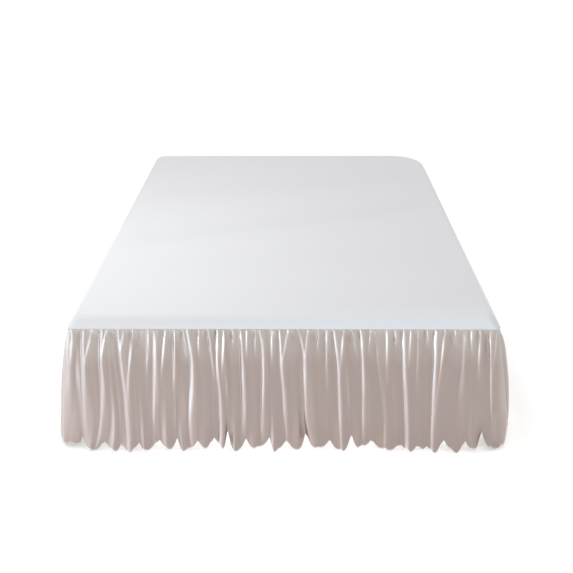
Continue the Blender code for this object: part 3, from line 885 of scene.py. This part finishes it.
def bleached_cotton(settings):
    """Bleached plain-woven cotton, matt, with even 0.5 mm threads and painted shade in troughs and rim."""
    material, tree, uv = new_material("bleached_cotton")
    cloud = stretched_noise(tree, uv, (3.0, 3.0, 1.0))
    slubs = stretched_noise(tree, uv, (60.0, 1500.0, 1.0))
    # The slack attribute carries painted shade: it darkens the cotton in the troughs and on the rim.
    painted_shade_share = add_node(tree, "ShaderNodeAttribute", {"attribute_name": "slack"}).outputs["Fac"]
    tone = toned(tree, cloud, settings.cotton, 0.99, 1.015)
    tone = mixed(tree, painted_shade_share, tone, linear(settings.cotton, 0.955))
    set_surface(tree, {
        "Base Color": mixed(tree, slubs, linear(settings.cotton, 0.97), tone),
        "Roughness": 0.85,
        "Sheen Weight": 0.15,
        "Sheen Roughness": 0.6,
        "Specular IOR Level": 0.2,
        "Normal": bumped(tree, threads(tree, uv, 0.0005), 0.0001, 0.5),
    })
    return material


def upholstery_weave(settings):
    """Linen-look polyester upholstery: 1.2 mm threads in two close tones, with slubs both ways."""
    material, tree, uv = new_material("upholstery_weave")
    warp = stretched_noise(tree, uv, (850.0, 35.0, 1.0))
    weft = stretched_noise(tree, uv, (35.0, 850.0, 1.0))
    tone = toned(tree, warp, settings.cover, 0.72, 1.10)
    set_surface(tree, {
        "Base Color": mixed(tree, weft, tone, linear(settings.cover, 0.95)),
        "Roughness": 0.9,
        "Sheen Weight": 0.2,
        "Specular IOR Level": 0.25,
        "Normal": bumped(tree, threads(tree, uv, 0.0012), 0.0004, 0.8),
    })
    return material


def oiled_beech(settings):
    """Oiled steamed beech: upright grain a few millimetres wide, with the fine dark flecks of beech."""
    material, tree, place = new_material("oiled_beech", "Object")
    grain = stretched_noise(tree, place, (160.0, 60.0, 9.0), 4.0)
    flecks = ramp(tree, stretched_noise(tree, place, (1500.0, 1500.0, 260.0), 1.0), 0.60, 0.66)
    tone = toned(tree, grain, settings.wood, 0.78, 1.15)
    set_surface(tree, {
        "Base Color": mixed(tree, flecks, tone, linear(settings.wood, 0.55)),
        "Roughness": 0.42,
        "Specular IOR Level": 0.45,
        "Normal": bumped(tree, grain, 0.0002, 0.3),
    })
    return material


def matt_floor(settings):
    """Matt painted studio floor: near white, with a faint roller texture."""
    material, tree, place = new_material("matt_studio_floor", "Object")
    texture = stretched_noise(tree, place, (40.0, 40.0, 40.0))
    set_surface(tree, {
        "Base Color": toned(tree, texture, settings.floor, 0.995, 1.0),
        "Roughness": 1.0,
        "Specular IOR Level": 0.0,
    })
    return material


# ---------------------------------------------------------------- operators


class BEDSKIRT_OT_deck(bpy.types.Operator):
    """Lay the deck panel over the bed."""

    bl_idname = "bedskirt.deck"
    bl_label = "Deck panel"

    def execute(self, context):
        settings = context.scene.bedskirt_deck
        piece, flat = self.make_panel(settings)
        piece.data.materials.append(bleached_cotton(settings))
        return {"FINISHED"}

    def make_panel(self, settings):
        """A grid on the bed's top, then rings that roll over its edge and run out to the seam.

        The roll is an arc of ROLL_TURN, and the rim a straight slope with a low rounded bead over the
        seam. The skin is the cloth's outer face. UV is the cloth laid flat.
        """
        across, along = DECK_GRID
        points, flats, loops, flat_out = covering(self.profile(settings), across, along)
        faces = [grid_faces(along, across)[:, ::-1]]
        faces += [ring_faces(upper, lower) for upper, lower in zip(loops, loops[1:])]
        points = np.concatenate(points)
        piece = new_piece("deck_panel", points, faces, np.concatenate(flats), ["top_panel"])
        # Painted shade in the slack attribute: the troughs by their depth, and the whole rim by its share.
        depth = troughs(*flats[0].T)
        painted_shade_share = np.full(len(points), RIM_PAINTED_SHADE, dtype=np.float32)
        painted_shade_share[:len(depth)] = depth / max(row[3] for row in TROUGHS)
        layer = piece.data.attributes.new("slack", "FLOAT", "POINT")
        layer.data.foreach_set("value", painted_shade_share)
        wall = piece.modifiers.new("cloth", "SOLIDIFY")
        wall.thickness = settings.cloth
        wall.offset = -1.0
        wall.use_even_offset = True
        return piece, (BED_WIDTH + 2 * flat_out, BED_LENGTH + 2 * flat_out)

    def profile(self, settings):
        """Rings from the flat top's edge to the seam, each as its distance out, height and foot corner."""
        roll = arc(-ROLL_RADIUS, TOP_HEIGHT - ROLL_RADIUS, ROLL_RADIUS, 0, ROLL_TURN, 11)
        rings = [(*point, corner) for point, corner in zip(roll, np.linspace(FLAT_CORNER, FOOT_CORNER, 11))]
        start_out, start_z, corner = rings[-1]
        for part in RIM_RINGS:
            swell = np.clip((part - BEAD_START) / (1 - BEAD_START), 0, 1)
            bead = settings.bead * math.sin(math.pi * swell) ** 0.7
            rings.append((start_out + (SEAM_OUT - start_out) * part + bead * math.cos(ROLL_TURN / 2),
                          start_z + (SEAM_HEIGHT - start_z) * part + bead * math.sin(ROLL_TURN / 2) * 0.3,
                          corner + (SEAM_CORNER - corner) * part))
        return rings


class BEDSKIRT_OT_ruffle(bpy.types.Operator):
    """Hang the three strips of the ruffle."""

    bl_idname = "bedskirt.ruffle"
    bl_label = "Ruffle"

    def execute(self, context):
        settings = context.scene.bedskirt_ruffle
        material = brushed_microfibre(settings)
        half_gap = GAP / 2
        strips = (
            ("left", seam_end(-1), -STRIP_END - half_gap),
            ("foot", -STRIP_END + half_gap, STRIP_END - half_gap),
            ("right", STRIP_END + half_gap, seam_end(1)),
        )
        for word, start, end in strips:
            piece, flat = self.make_strip(settings, word, start, end)
            piece.data.materials.append(material)
        return {"FINISHED"}

    def make_strip(self, settings, word, start, end):
        """One closed sheet: the point at (q, t) is the seam path at drift(q, t), moved out.

        It moves out by cloth_out, shirring and slack, and the inner face by the cloth's thickness less.
        UV is the length along the hem and the height over it, in metres.
        """
        q, cloth = hem_columns(start, end, settings.column, settings.scallop_pitch)
        scallop = 1 - np.abs(np.sin(np.pi * cloth / settings.scallop_pitch))
        lift = HEM_LIFT * (HEM_TABLE[:, 1].max() - swell_out(q, lobed=True))
        hem_z = HEM_HEIGHT + lift + settings.scallop_depth * scallop
        depths = ruffle_depths()
        outer, inner, uv = [], [], []
        for t in depths:
            s = drift(q, t)
            x, y, nx, ny = seam_path(s)
            out = cloth_out(q, t) + shirring(s, t) + slack(s, t)
            along = np.hypot(np.gradient(x + nx * out), np.gradient(y + ny * out))
            steepness = np.abs(np.gradient(out)) / along
            lean = 1 / np.sqrt(np.maximum(1 - steepness ** 2, 1 / MAX_LEAN ** 2))
            z = RUFFLE_TOP - t * (RUFFLE_TOP - hem_z)
            for face, distance in ((outer, out), (inner, out - settings.cloth * lean)):
                face.append(np.column_stack([x + nx * distance, y + ny * distance, z]))
            uv.append(np.column_stack([cloth, (1 - t) * (RUFFLE_TOP - hem_z)]))
        outer_grid = (len(depths), len(q))
        inner_grid = (*outer_grid, len(depths) * len(q))
        faces = [
            grid_faces(*outer_grid),
            grid_faces(*inner_grid)[:, ::-1],
            ring_faces(grid_rim(*inner_grid), grid_rim(*outer_grid)),
        ]
        piece = new_piece(f"ruffle_{word}_cloth", np.concatenate(outer + inner), faces,
                          np.concatenate(uv + uv), [f"ruffle_{word}"])
        piece.data.set_sharp_from_angle(angle=math.radians(70))
        return piece, (float(cloth[-1]), RUFFLE_TOP - HEM_HEIGHT)


class BEDSKIRT_OT_base(bpy.types.Operator):
    """Build the upholstered base."""

    bl_idname = "bedskirt.base"
    bl_label = "Base"

    def execute(self, context):
        settings = context.scene.bedskirt_base
        piece = self.make_base(settings)
        piece.data.materials.append(upholstery_weave(settings))
        return {"FINISHED"}

    def make_base(self, settings):
        """A closed box of cloth: a top grid under the deck, rings down its padded sides, a flat bottom.

        The sides swell by a sine a little between two welts, which are half circles in the profile.
        UV is the cover laid flat.
        """
        across, along = BASE_GRID
        *rings, bottom_ring = self.profile(settings)
        points, flats, loops, _ = covering(rings, across, along, BASE_CORNER)
        bottom_out, bottom_z, corner = bottom_ring
        bottom = plan_grid(plan_edges(bottom_out, corner, across, along)).reshape(-1, 2)
        first = sum(len(part) for part in points)
        points.append(np.column_stack([bottom, np.full(len(bottom), bottom_z)]))
        flats.append(bottom + BOTTOM_FLAT_PLACE)
        loops.append(grid_rim(along, across, first))
        faces = [grid_faces(along, across)[:, ::-1], grid_faces(along, across, first)]
        faces += [ring_faces(upper, lower) for upper, lower in zip(loops, loops[1:])]
        return new_piece("base_cover", np.concatenate(points), faces, np.concatenate(flats),
                         ["base"])

    def profile(self, settings):
        """Rings from the top's edge to the bottom's, each as its distance out, height and foot corner."""
        wall, radius = -BASE_INSET, settings.welt
        top = TOP_HEIGHT - BASE_DROP
        line = arc(wall - BASE_ROLL, top - BASE_ROLL, BASE_ROLL, 0, math.pi / 2, 9)
        upper_welt, lower_welt = SEAM_HEIGHT - WELT_UNDER_SEAM, LEG_HEIGHT + WELT_OVER_FEET
        bottom_edge = LEG_HEIGHT + BOTTOM_ROLL
        runs = (
            # start, end, how far it swells, points
            (line[-1][1], upper_welt + radius, 0.0, 3),
            (upper_welt - radius, lower_welt + radius, SIDE_SWELL, 17),
            (lower_welt - radius, bottom_edge, 0.0, 3),
        )
        for start, end, swell, count in runs:
            line += [(wall + swell * math.sin(math.pi * part), start + (end - start) * part)
                     for part in np.linspace(0, 1, count)[1:]]
            if end != bottom_edge:
                line += arc(wall, end - radius, radius, 0, math.pi, 9)[1:]
        line += arc(wall - BOTTOM_ROLL, bottom_edge, BOTTOM_ROLL, math.pi / 2, math.pi, 5)[1:]
        line.append((wall - BOTTOM_INSET, LEG_HEIGHT))
        return [(out, z, max(BASE_CORNER + out, LEAST_CORNER)) for out, z in line]


class BEDSKIRT_OT_feet(bpy.types.Operator):
    """Turn the six feet."""

    bl_idname = "bedskirt.feet"
    bl_label = "Feet"

    def execute(self, context):
        material = oiled_beech(context.scene.bedskirt_base)
        for row in ("foot", "middle", "head"):
            for word in ("left", "right"):
                node = f"leg_{row}_{word}"
                low, high = (np.array(corner, dtype=float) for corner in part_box(node))
                middle = (low + high) / 2 - BED_PLACE
                top_radius, height = (high[0] - low[0]) / 2, high[2]
                piece = lathe(f"foot_{row}_{word}", self.profile(top_radius, height), middle,
                              FOOT_SIDES, [node])
                piece.data.set_sharp_from_angle(angle=math.radians(40))
                piece.data.materials.append(material)
        return {"FINISHED"}

    def profile(self, top_radius, height):
        """A foot's outline from the floor up: a chamfer, a long taper, a groove and a rounded top."""
        floor_radius = FOOT_TAPER * top_radius
        taper_end = height - FOOT_HEAD
        rows = [(floor_radius - FOOT_CHAMFER, 0.0), (floor_radius - 0.0008, 0.0006)]
        rows += [(floor_radius + (FOOT_GROOVE[0][0] * top_radius - floor_radius) * part,
                  FOOT_CHAMFER + (taper_end - FOOT_CHAMFER) * part)
                 for part in np.linspace(0, 1, 11)]
        rows += [(share * top_radius, taper_end + over) for share, over in FOOT_GROOVE[1:]]
        return rows + arc(top_radius - FOOT_ROUND, height - FOOT_ROUND, FOOT_ROUND, math.pi / 2, 0, 5)


class BEDSKIRT_OT_stage(bpy.types.Operator):
    """Set the floor, the daylight and the camera."""

    bl_idname = "bedskirt.stage"
    bl_label = "Stage"

    def execute(self, context):
        settings = context.scene.bedskirt_stage
        self.make_floor(settings)
        self.fill_sky(context.scene, settings)
        for name, setting, place, target, size, tint in LAMPS:
            self.add_lamp(name, place, target, size, getattr(settings, setting), tint)
        for name, place, (width, depth), share in FLOOR_LIGHTS:
            watts = settings.floor_light * share * width * depth
            # a hair towards the head, so that the lamp's width lies across the bed
            below = (place[0], place[1] + 0.001, 0.0)
            self.add_lamp(name, place, below, (width, depth), watts, (1.0, 1.0, 1.0))
        self.set_camera(context.scene, settings)
        return {"FINISHED"}

    def make_floor(self, settings):
        """A wide pale floor."""
        corners = [(x * FLOOR_REACH, y * FLOOR_REACH, 0.0) for x, y in ((-1, -1), (1, -1), (1, 1), (-1, 1))]
        mesh = bpy.data.meshes.new("floor")
        mesh.from_pydata(corners, [], [(0, 1, 2, 3)])
        floor = bpy.data.objects.new("floor", mesh)
        bpy.context.scene.collection.objects.link(floor)
        mesh.materials.append(matt_floor(settings))

    def fill_sky(self, scene, settings):
        """Even light from all round, and colours shown as they are, without a film curve."""
        world = bpy.data.worlds.new("sky")
        world.use_nodes = True
        background = world.node_tree.nodes["Background"]
        background.inputs["Color"].default_value = (1.0, 1.0, 1.0, 1.0)
        background.inputs["Strength"].default_value = settings.sky
        scene.world = world
        scene.view_settings.view_transform = "Standard"

    def add_lamp(self, name, place, target, size, watts, tint):
        """A rectangular lamp at place, its -Z axis turned to the target, or a narrow crisp spot."""
        data = bpy.data.lights.new(name, "AREA" if size else "SPOT")
        if size:
            data.shape = "RECTANGLE"
            data.size, data.size_y = size
        else:
            data.spot_size = SPOT_CONE
            data.spot_blend = SPOT_BLEND
            data.shadow_soft_size = SPOT_RADIUS
        data.energy = watts
        data.color = tint
        lamp = bpy.data.objects.new(name, data)
        lamp.visible_camera = False
        bpy.context.scene.collection.objects.link(lamp)
        toward = np.subtract(target, place)
        tilt = math.atan2(math.hypot(*toward[:2]), -toward[2])
        turn = math.atan2(toward[1], toward[0]) - math.pi / 2
        lamp.matrix_world = (Matrix.Translation((np.array(place) + BED_PLACE).tolist())
                             @ Matrix.Rotation(turn, 4, "Z") @ Matrix.Rotation(tilt, 4, "X"))

    def set_camera(self, scene, settings):
        """The camera stands before the foot, above the bed, and looks down along it."""
        data = bpy.data.cameras.new("camera")
        data.lens = settings.lens
        camera = bpy.data.objects.new("camera", data)
        scene.collection.objects.link(camera)
        place = np.array(CAMERA_PLACE) + BED_PLACE + (0.0, 0.0, TOP_HEIGHT)
        camera.matrix_world = (Matrix.Translation(place.tolist()) @ Matrix.Rotation(-CAMERA_YAW, 4, "Z")
                               @ Matrix.Rotation(math.pi / 2 - CAMERA_PITCH, 4, "X")
                               @ Matrix.Rotation(CAMERA_ROLL, 4, "Z"))
        scene.camera = camera


class BEDSKIRT_PT_panel(bpy.types.Panel):
    """Lists the pieces and their settings."""

    bl_idname = "BEDSKIRT_PT_panel"
    bl_label = "Bed skirt"
    bl_space_type = "VIEW_3D"
    bl_region_type = "UI"
    bl_category = "Bed skirt"

    def draw(self, context):
        scene = context.scene
        for settings, operators in (
            (scene.bedskirt_deck, ("bedskirt.deck",)),
            (scene.bedskirt_ruffle, ("bedskirt.ruffle",)),
            (scene.bedskirt_base, ("bedskirt.base", "bedskirt.feet")),
            (scene.bedskirt_stage, ("bedskirt.stage",)),
        ):
            box = self.layout.box()
            for name in settings.__annotations__:
                box.prop(settings, name)
            for operator in operators:
                box.operator(operator)


SETTINGS = {
    "bedskirt_deck": DeckSettings,
    "bedskirt_ruffle": RuffleSettings,
    "bedskirt_base": BaseSettings,
    "bedskirt_stage": StageSettings,
}
CLASSES = (
    *SETTINGS.values(),
    BEDSKIRT_OT_deck,
    BEDSKIRT_OT_ruffle,
    BEDSKIRT_OT_base,
    BEDSKIRT_OT_feet,
    BEDSKIRT_OT_stage,
    BEDSKIRT_PT_panel,
)


def register():
    for item in CLASSES:
        bpy.utils.register_class(item)
    for name, group in SETTINGS.items():
        setattr(bpy.types.Scene, name, bpy.props.PointerProperty(type=group))


def unregister():
    for name in SETTINGS:
        delattr(bpy.types.Scene, name)
    for item in reversed(CLASSES):
        bpy.utils.unregister_class(item)


def main():
    register()
    bpy.ops.bedskirt.deck()
    bpy.ops.bedskirt.ruffle()
    bpy.ops.bedskirt.base()
    bpy.ops.bedskirt.feet()
    bpy.ops.bedskirt.stage()


if __name__ == "__main__":
    main()
